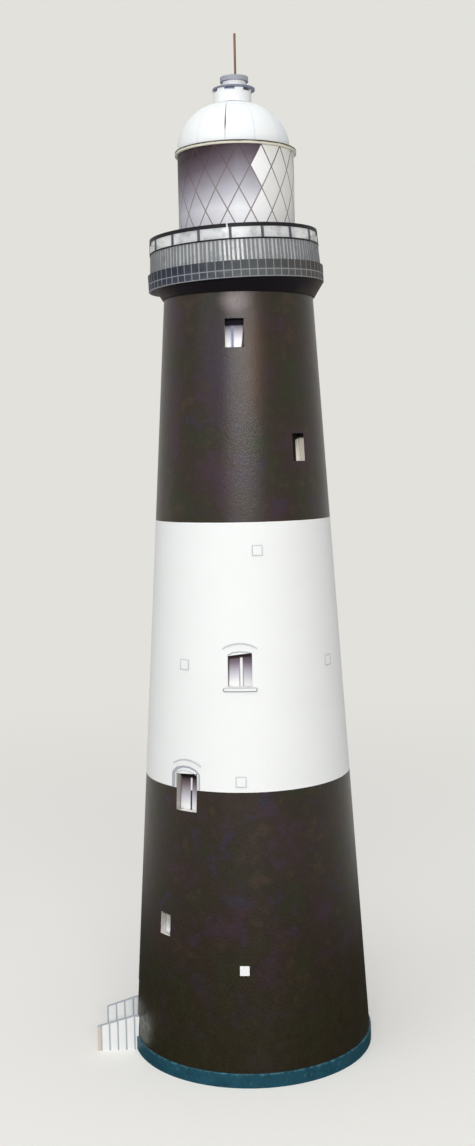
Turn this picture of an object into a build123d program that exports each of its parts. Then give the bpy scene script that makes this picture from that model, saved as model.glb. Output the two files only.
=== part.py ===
import math
import os
from typing import NamedTuple

from build123d import *

# Card model of a round banded lighthouse, in millimetres.
# The tower axis is Z, the floor is Z = 0 and the front faces -Y.
# Azimuths are degrees from the front, growing towards +X.

# Gap that glue leaves between pieces that fit together
glue_gap = 0.05

# Tower: one tapering card tube in three coloured sections, on a plinth disc
tower_foot_radius = 19.2
tower_top_radius = 11.75
wall = 1.0
plinth_height = 2.2
plinth_ledge = 0.25
lower_section = 42.8
middle_section = 40.7
upper_section = 34.5

# Windows: holes cut by hand, so a head can be a little higher at one end.
# Each sill is set from the nearest end of its tower section.
high_window_azimuth = -3.4
high_window_width = 2.85
high_window_height = 4.3
high_window_drop = 8.3
stair_window_azimuth = 41.3
stair_window_width = 2.35
stair_window_height = 4.2
stair_window_lift = 9.0
middle_window_azimuth = -3.4
middle_window_width = 3.7
middle_window_left = 4.75
middle_window_right = 5.2
middle_window_lift = 15.9
joint_window_azimuth = -35.1
joint_window_width = 3.85
joint_window_left = 5.6
joint_window_right = 5.9
joint_window_drop = 3.4
foot_window_azimuth = -48.2
foot_window_width = 2.3
foot_window_left = 3.45
foot_window_right = 3.3
foot_window_lift = 19.4

# Printed panels glued behind the holes
panel_thickness = 0.3
panel_margin = 0.7

# Paper dressings on the wall: hood moulds, sills and small square hatches
dressing_thickness = 0.12
hood_width = 5.25
hood_rise = 0.8
hood_depth = 0.22
middle_hood_lift = 6.5
joint_hood_lift = 7.8
sill_width = 5.25
sill_depth = 0.7
hatch_side = 1.65
upper_hatch_azimuth = 8.3
upper_hatch_drop = 4.25
left_hatch_azimuth = -37.4
left_hatch_lift = 19.05
right_hatch_azimuth = 55.6
right_hatch_lift = 18.85
joint_hatch_azimuth = -3.7
joint_hatch_lift = 1.6
foot_hatch_azimuth = -3.4
foot_hatch_lift = 15.75
foot_hatch_side = 1.45

# Entrance: a door above a flight of steps between two flank walls, whose tops climb to the tower
door_azimuth = -88.0
door_width = 4.0
door_height = 8.4
step_width = 7.0
step_count = 3
step_tread = 1.6
flank_thickness = 0.8
flank_low_height = 3.95
flank_high_height = 5.5
front_flank_overrun = 1.1
rear_flank_overrun = 0.05

# Corbel under the gallery
corbel_ledge = 0.25
corbel_height = 1.8
corbel_setback = 0.35

# Gallery: deck, fascia strip and clear railing, all leaning a little to one side
gallery_shift = -0.3
gallery_tilt = 2.4
deck_radius = 13.45
deck_thickness = 2.5
fascia_thickness = 0.3
railing_setback = 0.1
railing_flare = 0.35
railing_height = 5.5
film_thickness = 0.15
rail_thickness = 0.12
top_rail_depth = 0.55
mid_rail_depth = 0.22
mid_rail_height = 3.1
post_count = 17
post_width = 0.4
post_azimuth = -1.9
rail_seam_azimuth = -3.8
rail_seam_gap = 0.24

# Lantern drum, and the gutter disc that closes it
lantern_radius = 9.1
lantern_wall = 0.35
lantern_height = 17.85
gutter_overhang = 0.4
gutter_thickness = 0.5

# Dome of bent petals, each meridian one arc, glued a little to one side of the axis
dome_shift = -0.3
dome_setback = 0.7
dome_arc_radius = 7.13
dome_arc_height = 0.18
dome_hole_radius = 1.2
petal_count = 12
petal_thickness = 0.35
petal_gap = 0.04
seam_azimuth = -8.0
slit_top_offset = -0.5
slit_neck_width = 0.08
slit_neck_offset = -0.1
slit_neck_inset = 1.8
slit_width = 0.22
slit_widest_inset = 0.42
slit_end_inset = 0.06

# Roof ventilator and lightning rod
vent_radius = 2.95
vent_wall = 0.35
vent_height = 2.1
vent_slots = 6
vent_slot_angle = 33.0
vent_slot_depth = 0.4
vent_slot_azimuth = -8.5
lid_shift = -0.1
lid_overhang = 0.35
lid_thickness = 0.25
neck_radius = 1.85
neck_wall = 0.3
neck_height = 1.05
cap_overhang = 0.35
cap_thickness = 0.7
rod_radius = 0.18
rod_height = 6.7
rod_offset = 0.2

# Levels and radii that follow from the sizes above
plinth_radius = tower_foot_radius + plinth_ledge
lower_joint = plinth_height + lower_section
upper_joint = lower_joint + middle_section
tower_top = upper_joint + upper_section
corbel_foot_radius = tower_top_radius + corbel_ledge
corbel_top_radius = deck_radius - corbel_setback
gallery_level = tower_top + corbel_height
railing_foot_radius = deck_radius - railing_setback
railing_top_radius = railing_foot_radius - railing_flare
lantern_top = gallery_level + deck_thickness + lantern_height
gutter_radius = lantern_radius + gutter_overhang
dome_foot = lantern_top + gutter_thickness
dome_radius = gutter_radius - dome_setback
dome_arc_centre = dome_radius - math.sqrt(dome_arc_radius**2 - dome_arc_height**2)

standing = (Align.CENTER, Align.CENTER, Align.MIN)
gallery_frame = Location((gallery_shift, 0, gallery_level), (0, -gallery_tilt, 0))


class Opening(NamedTuple):
    """Hole in the tower wall, with the height of its head at each end."""

    azimuth: float
    sill: float
    width: float
    left: float
    right: float


def save(name, shape):
    export_step(shape, "parts/" + name + ".step")


def ring(inner_radius, outer_radius, height):
    outer = Cylinder(outer_radius, height, align=standing)
    return outer - Cylinder(inner_radius, height, align=standing)


def conical_layer(foot_radius, top_radius, height, inner_offset, outer_offset):
    """Layer of a cone's wall, between two offsets from its outside."""
    outer = Cone(foot_radius + outer_offset, top_radius + outer_offset, height, align=standing)
    inner = Cone(foot_radius + inner_offset, top_radius + inner_offset, height, align=standing)
    return outer - inner


def between(bottom, top):
    """Wide flat block between two levels."""
    side = 4 * plinth_radius
    return Pos(0, 0, bottom) * Box(side, side, top - bottom, align=standing)


def radial_frame(azimuth, level):
    """Plane through the tower axis with local Z pointing outwards and local Y upwards."""
    angle = math.radians(azimuth)
    outwards = (math.sin(angle), -math.cos(angle), 0)
    sideways = (math.cos(angle), math.sin(angle), 0)
    return Plane(origin=(0, 0, level), x_dir=sideways, z_dir=outwards)


def prism(azimuth, level, outline):
    """Outline pushed outwards from the tower axis, past the wall."""
    return extrude(radial_frame(azimuth, level) * outline, 2 * plinth_radius)


def turned(profile, azimuth, sweep):
    """Upright profile of radius and height, swept round the tower axis from an azimuth."""
    return revolve(radial_frame(azimuth, 0) * Rot(0, -90, 0) * profile, Axis.Z, sweep)


# Tower


def tower_layer(inner_offset, outer_offset):
    height = tower_top - plinth_height
    layer = conical_layer(tower_foot_radius, tower_top_radius, height, inner_offset, outer_offset)
    return Pos(0, 0, plinth_height) * layer


def hole(opening):
    half = opening.width / 2
    corners = Polyline((-half, 0), (half, 0), (half, opening.right), (-half, opening.left), (-half, 0))
    return prism(opening.azimuth, opening.sill, make_face(corners))


def backing_panel(opening, bottom_margin):
    """Printed panel glued behind a hole, curved with the wall."""
    width = opening.width + 2 * panel_margin
    height = max(opening.left, opening.right) + panel_margin + bottom_margin
    outline = Pos(0, height / 2 - bottom_margin) * Rectangle(width, height)
    layer = tower_layer(-wall - glue_gap - panel_thickness, -wall - glue_gap)
    return layer & prism(opening.azimuth, opening.sill, outline)


def dressing(azimuth, level, outline):
    """Paper outline glued on the outside of the wall."""
    return tower_layer(glue_gap, glue_gap + dressing_thickness) & prism(azimuth, level, outline)


def hood_mould(opening, lift):
    half = hood_width / 2
    outside = ThreePointArc((half, hood_depth - hood_rise), (0, hood_depth), (-half, hood_depth - hood_rise))
    inside = ThreePointArc((-half, -hood_rise), (0, 0), (half, -hood_rise))
    left_end = Line(outside @ 1, inside @ 0)
    right_end = Line(inside @ 1, outside @ 0)
    outline = make_face([outside, left_end, inside, right_end])
    return dressing(opening.azimuth, opening.sill + lift, outline)


def sill_strip(opening):
    return dressing(opening.azimuth, opening.sill - sill_depth / 2, Rectangle(sill_width, sill_depth))


def opposite(opening):
    return opening._replace(azimuth=opening.azimuth + 180)


high_window = Opening(
    high_window_azimuth,
    tower_top - high_window_drop,
    high_window_width,
    high_window_height,
    high_window_height,
)
stair_window = Opening(
    stair_window_azimuth,
    upper_joint + stair_window_lift,
    stair_window_width,
    stair_window_height,
    stair_window_height,
)
middle_window = Opening(
    middle_window_azimuth,
    lower_joint + middle_window_lift,
    middle_window_width,
    middle_window_left,
    middle_window_right,
)
joint_window = Opening(
    joint_window_azimuth,
    lower_joint - joint_window_drop,
    joint_window_width,
    joint_window_left,
    joint_window_right,
)
foot_window = Opening(
    foot_window_azimuth,
    plinth_height + foot_window_lift,
    foot_window_width,
    foot_window_left,
    foot_window_right,
)
windows = {
    "high_window": high_window,
    "stair_window": stair_window,
    "middle_window": middle_window,
    "joint_window": joint_window,
    "foot_window": foot_window,
    "rear_high_window": opposite(high_window),
    "rear_middle_window": opposite(middle_window),
    "rear_foot_window": opposite(foot_window),
}
hood_lifts = {
    "middle_window": middle_hood_lift,
    "joint_window": joint_hood_lift,
    "rear_middle_window": middle_hood_lift,
}
hatches = {
    "upper_hatch": (upper_hatch_azimuth, upper_joint - upper_hatch_drop, hatch_side),
    "left_hatch": (left_hatch_azimuth, lower_joint + left_hatch_lift, hatch_side),
    "right_hatch": (right_hatch_azimuth, lower_joint + right_hatch_lift, hatch_side),
    "joint_hatch": (joint_hatch_azimuth, lower_joint + joint_hatch_lift, hatch_side),
    "foot_hatch": (foot_hatch_azimuth, plinth_height + foot_hatch_lift, foot_hatch_side),
}
door = Opening(door_azimuth, plinth_height, door_width, door_height, door_height)

os.makedirs("parts", exist_ok=True)
save("plinth", Cylinder(plinth_radius, plinth_height, align=standing))

tube = tower_layer(-wall, 0) - hole(door)
for window in windows.values():
    tube -= hole(window)
save("lower_tower", tube & between(plinth_height, lower_joint))
save("middle_tower", tube & between(lower_joint, upper_joint))
save("upper_tower", tube & between(upper_joint, tower_top))

for name, window in windows.items():
    save(name + "_panel", backing_panel(window, panel_margin))
save("door", backing_panel(door, 0))
for name, lift in hood_lifts.items():
    save(name + "_hood", hood_mould(windows[name], lift))
save("middle_window_sill", sill_strip(middle_window))
save("rear_middle_window_sill", sill_strip(opposite(middle_window)))
for name, (azimuth, level, side) in hatches.items():
    save(name, dressing(azimuth, level, Rectangle(side, side)))


# Entrance


def flank_wall(side, overrun):
    """Wall along the steps: side is 1 for the front wall and -1 for the rear one."""
    reach = steps_reach + overrun
    outline = Polyline(
        (0, 0),
        (-reach, 0),
        (-reach, flank_low_height),
        (-plinth_radius, flank_high_height),
        (0, flank_high_height),
        (0, 0),
    )
    slab = extrude(Plane.YZ * make_face(outline), flank_thickness / 2, both=True)
    middle = side * (step_width / 2 + glue_gap + flank_thickness / 2)
    return entrance * Pos(middle, 0, 0) * slab - tower_body


# In the entrance's own frame the door faces -Y
entrance = Rot(0, 0, door_azimuth)
steps_reach = plinth_radius + step_count * step_tread
tower_body = Pos(0, 0, plinth_height) * Cone(
    tower_foot_radius + glue_gap, tower_top_radius + glue_gap, tower_top - plinth_height, align=standing
)
tower_body += Cylinder(plinth_radius + glue_gap, plinth_height, align=standing)
flight = []
for index in range(step_count):
    reach = steps_reach - index * step_tread
    rise = plinth_height * (index + 1) / step_count
    flight.append(Box(step_width, reach, rise, align=(Align.CENTER, Align.MAX, Align.MIN)))
save("door_steps", entrance * flight[0].fuse(*flight[1:]).clean() - tower_body)
save("front_flank_wall", flank_wall(1, front_flank_overrun))
save("rear_flank_wall", flank_wall(-1, rear_flank_overrun))


# Gallery


def railing_layer(inner_offset, outer_offset, bottom, top):
    """Band of the flared railing, between two heights above the deck."""
    layer = conical_layer(
        railing_foot_radius,
        railing_top_radius,
        railing_height,
        inner_offset,
        outer_offset,
    )
    return gallery_frame * Pos(0, 0, deck_thickness) * (layer & between(bottom, top))


above_gallery_level = gallery_frame * between(0, lantern_height)
below_deck_top = gallery_frame * between(-lantern_height, deck_thickness)

# The corbel's cone runs on upwards, and the leaning deck cuts it off
corbel_spread = corbel_top_radius - corbel_foot_radius
corbel = Cone(corbel_foot_radius, corbel_top_radius + corbel_spread, 2 * corbel_height, align=standing)
save("corbel", Pos(0, 0, tower_top) * corbel - above_gallery_level)
save("gallery_deck", gallery_frame * Cylinder(deck_radius, deck_thickness, align=standing))
fascia_inner = deck_radius + glue_gap
save("gallery_fascia", gallery_frame * ring(fascia_inner, fascia_inner + fascia_thickness, deck_thickness))

rail_outer = glue_gap + rail_thickness
top_rail_foot = railing_height - top_rail_depth
mid_rail_top = mid_rail_height + mid_rail_depth
save("railing_film", railing_layer(-film_thickness, 0, 0, railing_height))
top_rail = railing_layer(glue_gap, rail_outer, top_rail_foot, railing_height)
rail_seam = Pos(0, -deck_radius, 0) * Box(rail_seam_gap, deck_radius, 4 * railing_height)
save("railing_top_rail", top_rail - gallery_frame * Rot(0, 0, rail_seam_azimuth) * rail_seam)
save("railing_mid_rail", railing_layer(glue_gap, rail_outer, mid_rail_height, mid_rail_top))

post_layer = railing_layer(glue_gap, rail_outer, mid_rail_top, top_rail_foot)
posts = []
for index in range(post_count):
    turn = Rot(0, 0, post_azimuth + index * 360 / post_count)
    bar = Pos(0, -deck_radius, 0) * Box(post_width, deck_radius, 4 * railing_height)
    posts.append(post_layer & (gallery_frame * turn * bar))
save("railing_posts", Compound(children=posts))


# Lantern and dome


def dome_surface(radius):
    """Height of the dome's outside above its foot."""
    return dome_arc_height + math.sqrt(dome_arc_radius**2 - (radius - dome_arc_centre) ** 2)


lantern = ring(lantern_radius - lantern_wall, lantern_radius, lantern_top - gallery_level)
save("lantern_drum", Pos(0, 0, gallery_level) * lantern - below_deck_top)
save("gutter", Pos(0, 0, lantern_top) * Cylinder(gutter_radius, gutter_thickness, align=standing))

arc_band = Circle(dome_arc_radius) - Circle(dome_arc_radius - petal_thickness)
arc_extent = Rectangle(dome_radius - dome_hole_radius, 2 * dome_radius, align=(Align.MIN, Align.MIN))
petal_profile = (Pos(dome_arc_centre, dome_arc_height) * arc_band) & (Pos(dome_hole_radius, 0) * arc_extent)
dome_frame = Pos(dome_shift, 0, dome_foot)
petal_pitch = 360 / petal_count
gap_angle = math.degrees(petal_gap / dome_radius)
petals = []
for index in range(petal_count):
    start = seam_azimuth + index * petal_pitch + gap_angle / 2
    petals.append(dome_frame * turned(petal_profile, start, petal_pitch - gap_angle))

# The first seam stands open: a slit that widens down the dome and closes above its foot
slit_outline = Polyline(
    (slit_top_offset, -vent_radius),
    (slit_neck_offset + slit_neck_width / 2, slit_neck_inset - dome_radius),
    (slit_width / 2, slit_widest_inset - dome_radius),
    (0, slit_end_inset - dome_radius),
    (-slit_width / 2, slit_widest_inset - dome_radius),
    (slit_neck_offset - slit_neck_width / 2, slit_neck_inset - dome_radius),
    (slit_top_offset, -vent_radius),
)
slit = dome_frame * Rot(0, 0, seam_azimuth) * extrude(make_face(slit_outline), dome_radius)
petals[0] -= slit
petals[-1] -= slit
save("dome_petals", Compound(children=petals))


# Ventilator and lightning rod

vent_foot = dome_foot + dome_surface(vent_radius - vent_wall) + glue_gap
lid_foot = vent_foot + vent_height
neck_foot = lid_foot + lid_thickness
cap_foot = neck_foot + neck_height
cap_radius = neck_radius + cap_overhang
rod_length = neck_height + cap_thickness + rod_height

vent = ring(vent_radius - vent_wall, vent_radius, vent_height)
slot_profile = Pos(vent_radius, vent_height) * Rectangle(4 * vent_wall, 2 * vent_slot_depth)
for index in range(vent_slots):
    start = vent_slot_azimuth - vent_slot_angle / 2 + index * 360 / vent_slots
    vent -= turned(slot_profile, start, vent_slot_angle)
rod_hole = Pos(rod_offset, 0, 0) * Cylinder(rod_radius + glue_gap, cap_thickness, align=standing)
save("vent_drum", Pos(dome_shift, 0, vent_foot) * vent)
lid = Cylinder(vent_radius + lid_overhang, lid_thickness, align=standing)
save("vent_lid", Pos(lid_shift, 0, lid_foot) * lid)
save("vent_neck", Pos(0, 0, neck_foot) * ring(neck_radius - neck_wall, neck_radius, neck_height))
save("vent_cap", Pos(0, 0, cap_foot) * (Cylinder(cap_radius, cap_thickness, align=standing) - rod_hole))
save("lightning_rod", Pos(rod_offset, 0, neck_foot) * Cylinder(rod_radius, rod_length, align=standing))
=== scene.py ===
import math
import random

import bmesh
import bpy
from mathutils import Matrix, Vector


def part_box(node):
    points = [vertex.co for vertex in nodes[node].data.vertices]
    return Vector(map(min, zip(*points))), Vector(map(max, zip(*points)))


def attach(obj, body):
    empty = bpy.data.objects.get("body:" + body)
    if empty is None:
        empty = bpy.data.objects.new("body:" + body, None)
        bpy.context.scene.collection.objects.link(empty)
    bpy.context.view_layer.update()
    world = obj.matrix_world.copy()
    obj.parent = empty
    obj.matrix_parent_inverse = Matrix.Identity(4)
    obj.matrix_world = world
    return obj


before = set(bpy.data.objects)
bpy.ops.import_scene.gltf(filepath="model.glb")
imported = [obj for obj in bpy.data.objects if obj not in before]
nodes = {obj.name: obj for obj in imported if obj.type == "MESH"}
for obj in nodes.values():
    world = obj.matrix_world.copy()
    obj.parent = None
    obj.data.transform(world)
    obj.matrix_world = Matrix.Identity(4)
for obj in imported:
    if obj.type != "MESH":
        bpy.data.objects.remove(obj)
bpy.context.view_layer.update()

# Lengths in the dictionaries are millimetres, angles degrees and colours display values from 0 to 255.
# Azimuths run from the front, which is -Y, towards +X.
# A range says where a change starts and where it is full.
mm = 0.001
inkBlur = 0.08        # how soft a printed edge is, unless its own blur is given


# Material helpers

def srgb(red, green, blue):
    def linear(value):
        value /= 255
        return value / 12.92 if value <= 0.04045 else ((value + 0.055) / 1.055) ** 2.4
    return (linear(red), linear(green), linear(blue), 1.0)


def feed(tree, socket, value):
    if isinstance(value, bpy.types.NodeSocket):
        tree.links.new(value, socket)
    else:
        socket.default_value = value


def calc(tree, operation, first, second=0.0, third=0.0, clamp=False):
    node = tree.nodes.new("ShaderNodeMath")
    node.operation = operation
    node.use_clamp = clamp
    for socket, value in zip(node.inputs, (first, second, third)):
        feed(tree, socket, value)
    return node.outputs[0]


def product(tree, first, *others):
    for other in others:
        first = calc(tree, "MULTIPLY", first, other)
    return first


def hypotenuse(tree, first, second):
    squares = [product(tree, side, side) for side in (first, second)]
    return calc(tree, "SQRT", calc(tree, "ADD", *squares))


def between(tree, share, first, second):
    # Runs from the first number to the second as the share runs from 0 to 1
    return calc(tree, "MULTIPLY_ADD", share, second - first, first)


def rise(tree, value, start, end):
    # 0 before start and 1 after end, which may lie below start
    node = tree.nodes.new("ShaderNodeMapRange")
    node.interpolation_type = "SMOOTHSTEP"
    feed(tree, node.inputs["Value"], value)
    feed(tree, node.inputs["From Min"], start)
    feed(tree, node.inputs["From Max"], end)
    return node.outputs[0]


def above(tree, value, edge, blur=inkBlur):
    # 1 above the edge and 0 below it, and below() the other way round
    return rise(tree, value, edge - blur / 2, edge + blur / 2)


def below(tree, value, edge, blur=inkBlur):
    return rise(tree, value, edge + blur / 2, edge - blur / 2)


def inkLine(tree, distance, width, blur=inkBlur):
    # 1 on a line of that width, where distance is measured from its middle
    return rise(tree, calc(tree, "ABSOLUTE", distance), (width + blur) / 2, max(width - blur, 0) / 2)


def feedColour(tree, socket, colour):
    feed(tree, socket, srgb(*colour) if isinstance(colour, tuple) else colour)


def blend(tree, factor, first, second):
    node = tree.nodes.new("ShaderNodeMix")
    node.data_type = "RGBA"
    feed(tree, node.inputs[0], factor)
    feedColour(tree, node.inputs[6], first)
    feedColour(tree, node.inputs[7], second)
    return node.outputs[2]


def vectorMath(tree, operation, first):
    node = tree.nodes.new("ShaderNodeVectorMath")
    node.operation = operation
    feed(tree, node.inputs[0], first)
    return node


def tint(tree, colour, strength):
    node = vectorMath(tree, "SCALE", srgb(*colour)[:3] if isinstance(colour, tuple) else colour)
    feed(tree, node.inputs["Scale"], strength)
    return node.outputs[0]


def ramp(tree, factor, stops):
    stops = [(position, srgb(*colour)) for position, colour in stops]
    node = tree.nodes.new("ShaderNodeValToRGB")
    elements = node.color_ramp.elements
    elements[0].position, elements[0].color = stops[0]
    elements[1].position, elements[1].color = stops[-1]
    for position, colour in stops[1:-1]:
        elements.new(position).color = colour
    feed(tree, node.inputs[0], factor)
    return node.outputs[0]


def objectPlace(tree):
    return tree.nodes.new("ShaderNodeTexCoord").outputs["Object"]


def noise(tree, size, detail=3.0, roughness=0.55):
    node = tree.nodes.new("ShaderNodeTexNoise")
    feed(tree, node.inputs["Vector"], objectPlace(tree))
    node.inputs["Scale"].default_value = 1 / (size * mm)
    node.inputs["Detail"].default_value = detail
    node.inputs["Roughness"].default_value = roughness
    return node.outputs[0]


def partsOf(tree, vector):
    split = tree.nodes.new("ShaderNodeSeparateXYZ")
    feed(tree, split.inputs[0], vector)
    return tuple(split.outputs)


def localPlace(tree, azimuth=0.0, level=0.0, shift=0.0, tilt=0.0):
    # Millimetres sideways, inwards and up, from a place turned to an azimuth
    mapping = tree.nodes.new("ShaderNodeMapping")
    mapping.vector_type = "TEXTURE"
    mapping.inputs["Location"].default_value = (shift * mm, 0, level * mm)
    mapping.inputs["Rotation"].default_value = (0, math.radians(-tilt), math.radians(azimuth))
    mapping.inputs["Scale"].default_value = (mm, mm, mm)
    feed(tree, mapping.inputs["Vector"], objectPlace(tree))
    return partsOf(tree, mapping.outputs[0])


def surfaceNormal(tree):
    return tree.nodes.new("ShaderNodeNewGeometry").outputs["Normal"]


def azimuthOf(tree, sideways, inwards):
    angle = calc(tree, "ARCTAN2", sideways, product(tree, inwards, -1.0))
    return calc(tree, "DEGREES", angle)


def newMaterial(name):
    material = bpy.data.materials.new(name)
    material.use_nodes = True
    tree = material.node_tree
    tree.nodes.clear()
    shader = tree.nodes.new("ShaderNodeBsdfPrincipled")
    output = tree.nodes.new("ShaderNodeOutputMaterial")
    tree.links.new(shader.outputs[0], output.inputs[0])
    return material, tree, shader


def finishSurface(tree, shader, colour, look, printed=1.0):
    # A slow mottle changes the colour and the roughness, and a fine grain the colour and the relief.
    # Where printed falls towards 0, the colour and the relief lose them.
    # A look gives the mottle and the grain as size and strength, and the roughness as middle and change.
    mottleSize, mottleStrength = look["mottle"]
    grainSize, grainStrength = look["grain"]
    roughness, roughnessChange = look["roughness"]
    mottle = calc(tree, "SUBTRACT", noise(tree, mottleSize, detail=4.0, roughness=0.6), 0.5)
    grain = calc(tree, "SUBTRACT", noise(tree, grainSize, detail=2.0, roughness=0.7), 0.5)
    change = calc(tree, "MULTIPLY_ADD", grain, grainStrength, product(tree, mottle, mottleStrength))
    strength = calc(tree, "MULTIPLY_ADD", change, printed, 1.0)
    feed(tree, shader.inputs["Base Color"], tint(tree, colour, strength))
    feed(tree, shader.inputs["Roughness"], calc(tree, "MULTIPLY_ADD", mottle, roughnessChange, roughness))
    shader.inputs["Specular IOR Level"].default_value = look["specular"]
    shader.inputs["Metallic"].default_value = look.get("metallic", 0.0)
    relief = look["relief"] * mm
    if isinstance(printed, bpy.types.NodeSocket):
        relief = product(tree, printed, relief)
    bump = tree.nodes.new("ShaderNodeBump")
    bump.inputs["Strength"].default_value = 1.0
    feed(tree, bump.inputs["Distance"], relief)
    feed(tree, bump.inputs["Height"], grain)
    feed(tree, shader.inputs["Normal"], bump.outputs[0])


def plainMaterial(name, look):
    material, tree, shader = newMaterial(name)
    finishSurface(tree, shader, look["colour"], look)
    return material


# Helpers for the CAD nodes and the new pieces

def coat(material, *names):
    for name in names:
        mesh = nodes[name].data
        mesh.materials.clear()
        mesh.materials.append(material)


def boxOf(name):
    low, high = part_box(name)
    return [value / mm for value in low], [value / mm for value in high]


def azimuthOfNode(name):
    vertices = nodes[name].data.vertices
    middle = sum((vertex.co for vertex in vertices), Vector()) / len(vertices)
    return math.degrees(math.atan2(middle.x, -middle.y))


def finishPiece(name, mesh, material):
    mesh.normal_update()
    bmesh.ops.recalc_face_normals(mesh, faces=mesh.faces)
    data = bpy.data.meshes.new(name)
    mesh.to_mesh(data)
    mesh.free()
    data.materials.append(material)
    piece = bpy.data.objects.new(name, data)
    bpy.context.collection.objects.link(piece)
    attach(piece, "root")


# Camera

camera = {
    "distance": 220.0, "height": 96.7, "yaw": -0.27, "pitch": -5.16, "roll": -1.18,
    "lens": 43.15, "sensor": 36.0, "nearest": 20.0,
}


def buildCamera(look):
    yaw, pitch, roll = (math.radians(look[key]) for key in ("yaw", "pitch", "roll"))
    ahead = Vector((math.sin(yaw) * math.cos(pitch), math.cos(yaw) * math.cos(pitch), math.sin(pitch)))
    levelRight = Vector((math.cos(yaw), -math.sin(yaw), 0))
    levelUp = levelRight.cross(ahead)
    right = math.cos(roll) * levelRight + math.sin(roll) * levelUp
    up = -math.sin(roll) * levelRight + math.cos(roll) * levelUp
    data = bpy.data.cameras.new("camera")
    data.sensor_width = look["sensor"]
    data.lens = look["lens"]
    data.clip_start = look["nearest"] * mm
    data.dof.use_dof = False
    holder = bpy.data.objects.new("camera", data)
    turn = Matrix((right, up, -ahead)).transposed().to_4x4()
    place = Vector((0, -look["distance"], look["height"])) * mm
    holder.matrix_world = Matrix.Translation(place) @ turn
    bpy.context.collection.objects.link(holder)
    bpy.context.scene.camera = holder


buildCamera(camera)
print("camera placed")


# Card towers and plinth

blackCard = {
    "colour": (38, 26, 14),
    # The black drifts slowly towards purple and green, and in smaller patches towards blue and brown
    "drifts": [
        {"colour": (50, 28, 40), "size": 6.0, "range": (0.5, 0.68)},
        {"colour": (30, 34, 8), "size": 6.0, "range": (0.5, 0.32)},
        {"colour": (38, 32, 44), "size": 3.0, "range": (0.54, 0.72)},
        {"colour": (52, 37, 26), "size": 3.0, "range": (0.46, 0.28)},
    ],
    "footColour": (40, 36, 20), "footHeight": 27.0, "footShare": 0.8,
    "mottle": (2.0, 0.6), "grain": (0.4, 1.0), "roughness": (0.36, 0.1), "specular": 0.39, "relief": 0.02,
}
whiteCard = {
    "colour": (246, 248, 248), "mottle": (6.0, 0.05), "grain": (0.3, 0.04),
    "roughness": (0.62, 0.1), "specular": 0.3, "relief": 0.008,
}
cardCore = {
    "colour": (246, 243, 238), "inside": (120, 112, 104), "mottleShare": 0.1,
    "printedRange": (0.6, 0.7), "insideRange": (-0.4, -0.6), "shadowBlur": 1.0,
    # Painted shade on the cut edges round the windows, which carries on the dark shading of the window prints
    "shadows": [
        {"window": "joint_window", "colour": (168, 158, 156), "within": 14.0, "range": (41.7, 41.9)},
        {"window": "high_window", "colour": (20, 16, 26), "within": 10.0, "range": (115.05, 115.3)},
        {"window": "stair_window", "colour": (210, 203, 195), "within": 9.0, "range": (94.5, 94.8)},
        {"window": "stair_window", "colour": (30, 24, 22), "within": 9.0, "range": (98.05, 98.35)},
        {"window": "foot_window", "colour": (172, 168, 162), "within": 8.0, "range": (18.5, 25.0)},
    ],
}
# A dusty rub beside the entrance; under the gallery a pale painted highlight, with a warm and a cool tint
# painted on either side of the highlight streak
lowerMarks = [
    {"colour": (104, 104, 96), "azimuth": -66.0, "level": 5.5, "width": 3.5, "height": 3.9,
     "streakSize": 1.0, "streakRange": (0.35, 0.7)},
]
upperTintsAndHighlight = [
    # Warm and cool tints painted beside the highlight streak
    {"colour": (62, 38, 20), "azimuth": 8.5, "level": 110.0, "width": 3.2, "height": 14.0,
     "streakSize": 1.5, "streakRange": (0.1, 0.5)},
    {"colour": (42, 29, 42), "azimuth": -15.0, "level": 110.0, "width": 4.5, "height": 14.0,
     "streakSize": 1.5, "streakRange": (0.1, 0.5)},
    # A painted highlight just under the corbel
    {"colour": (114, 102, 104), "azimuth": -3.2, "level": 118.8, "width": 3.1, "height": 2.4,
     "streakSize": 1.5, "streakRange": (0.1, 0.55)},
]
markCore = 0.1        # the share of a mark's reach where it is at its strongest
tealBoard = {
    "colour": (20, 74, 92), "worn": (70, 118, 132), "wearSize": 0.9, "wearRange": (0.56, 0.78),
    "rimDepth": 0.3, "rimWear": 0.18, "mottle": (2.2, 0.9), "grain": (0.4, 0.5),
    "roughness": (0.55, 0.2), "specular": 0.3, "relief": 0.02,
}
plinthTop = boxOf("plinth")[1][2]


def addRubAndHighlight(tree, colour, mark):
    across, depth, up = localPlace(tree, mark["azimuth"], mark["level"])
    across = calc(tree, "DIVIDE", across, mark["width"])
    up = calc(tree, "DIVIDE", up, mark["height"])
    strength = rise(tree, hypotenuse(tree, across, up), 1.0, markCore)
    streaks = rise(tree, noise(tree, mark["streakSize"], detail=4.0, roughness=0.7), *mark["streakRange"])
    nearSide = rise(tree, depth, 0.0, -1.0)        # not on the far side of the tower
    return blend(tree, product(tree, strength, streaks, nearSide), colour, mark["colour"])


def bareCard(tree, facing):
    # The cut edges and the inside of a tube, which have no printed paper
    sideways, inwards, level = localPlace(tree)
    azimuth = azimuthOf(tree, sideways, inwards)
    core = cardCore["colour"]
    # Painted shade on the cut edges round some windows
    for shadow in cardCore["shadows"]:
        apart = calc(tree, "SUBTRACT", azimuth, azimuthOfNode(shadow["window"] + "_panel"))
        apart = calc(tree, "ABSOLUTE", apart)
        across = rise(tree, apart, shadow["within"] + cardCore["shadowBlur"], shadow["within"])
        shaded = product(tree, across, rise(tree, level, *shadow["range"]))
        core = blend(tree, shaded, core, shadow["colour"])
    return blend(tree, rise(tree, facing, *cardCore["insideRange"]), core, cardCore["inside"])


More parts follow.
